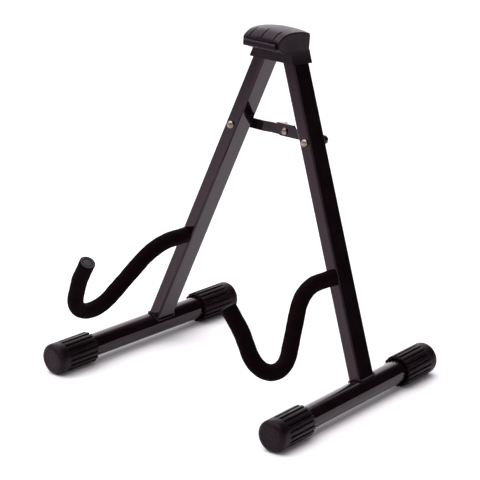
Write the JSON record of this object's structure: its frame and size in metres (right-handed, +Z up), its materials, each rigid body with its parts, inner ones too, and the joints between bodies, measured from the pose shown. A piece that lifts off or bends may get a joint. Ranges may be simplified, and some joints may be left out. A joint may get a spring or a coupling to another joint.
{
  "type": "folding instrument stand",
  "caption": "Folding A-frame floor stand: two splayed rectangular legs on round capped feet, foam-padded support arms, a moulded hinge head and a folding brace.",
  "frame": {"origin": "on the floor, below the middle of the outline", "axes": "+Z up, -Y toward the side the instrument rests on, +X to the right for someone facing that side"},
  "size_m": [0.341, 0.2782, 0.373],
  "materials": {
    "enamel": "gloss black stove enamel",
    "rubber": "satin moulded rubber",
    "moulding": "satin moulded plastic",
    "foam": "matt closed-cell foam sleeve",
    "nickel": "bright nickel plate",
    "dark_steel": "black oxide"
  },
  "bodies": {
    "head": {"head_cover": "moulding", "bumper_bar": "rubber", "hinge_bracket": "dark_steel", "left_hinge_pin": "dark_steel", "right_hinge_pin": "dark_steel", "left_cover_screw": "dark_steel", "right_cover_screw": "dark_steel"},
    "left_leg": {"left_leg_tube": "enamel", "left_foot_weld": "enamel", "left_foot_tube": "enamel", "left_front_cap": "rubber", "left_rear_cap": "rubber", "left_arm_rod": "enamel", "left_arm_foam": "foam", "left_arm_plug": "rubber", "left_leg_bolt": "nickel", "left_spacer": "nickel", "left_lock_nut": "dark_steel"},
    "right_leg": {"right_leg_tube": "enamel", "right_foot_weld": "enamel", "right_foot_tube": "enamel", "right_front_cap": "rubber", "right_rear_cap": "rubber", "right_arm_rod": "enamel", "right_arm_foam": "foam", "right_arm_plug": "rubber", "right_leg_bolt": "nickel", "right_spacer": "nickel", "right_lock_nut": "dark_steel"},
    "left_link": {"left_brace_link": "enamel", "centre_rivet_tail": "dark_steel"},
    "right_link": {"right_brace_link": "enamel", "centre_rivet": "nickel"}
  },
  "joints": [
    {"name": "left_leg_hinge", "type": "hinge", "parent": "head", "child": "left_leg", "pos_m": [-0.0153, 0.06527, 0.34927], "axis": [0, -0.993, 0.1184], "range_deg": [0, 21.05]},
    {"name": "right_leg_hinge", "type": "hinge", "parent": "head", "child": "right_leg", "pos_m": [0.0153, 0.06527, 0.34927], "axis": [0, 0.993, -0.1184], "range_deg": [0, 21.05]},
    {"name": "left_link_hinge", "type": "hinge", "parent": "left_leg", "child": "left_link", "pos_m": [-0.05095, 0.0545, 0.25894], "axis": [0, -0.993, 0.1184], "range_deg": [0, 51.27]},
    {"name": "right_link_hinge", "type": "hinge", "parent": "right_leg", "child": "right_link", "pos_m": [0.05095, 0.0545, 0.25894], "axis": [0, 0.993, -0.1184], "range_deg": [0, 51.27]}
  ],
  "couplings": [
    {"joint": "right_leg_hinge", "follows": "left_leg_hinge", "ratio": 1},
    {"joint": "left_link_hinge", "follows": "left_leg_hinge", "ratio": 2.4332},
    {"joint": "right_link_hinge", "follows": "left_leg_hinge", "ratio": 2.4332}
  ]
}
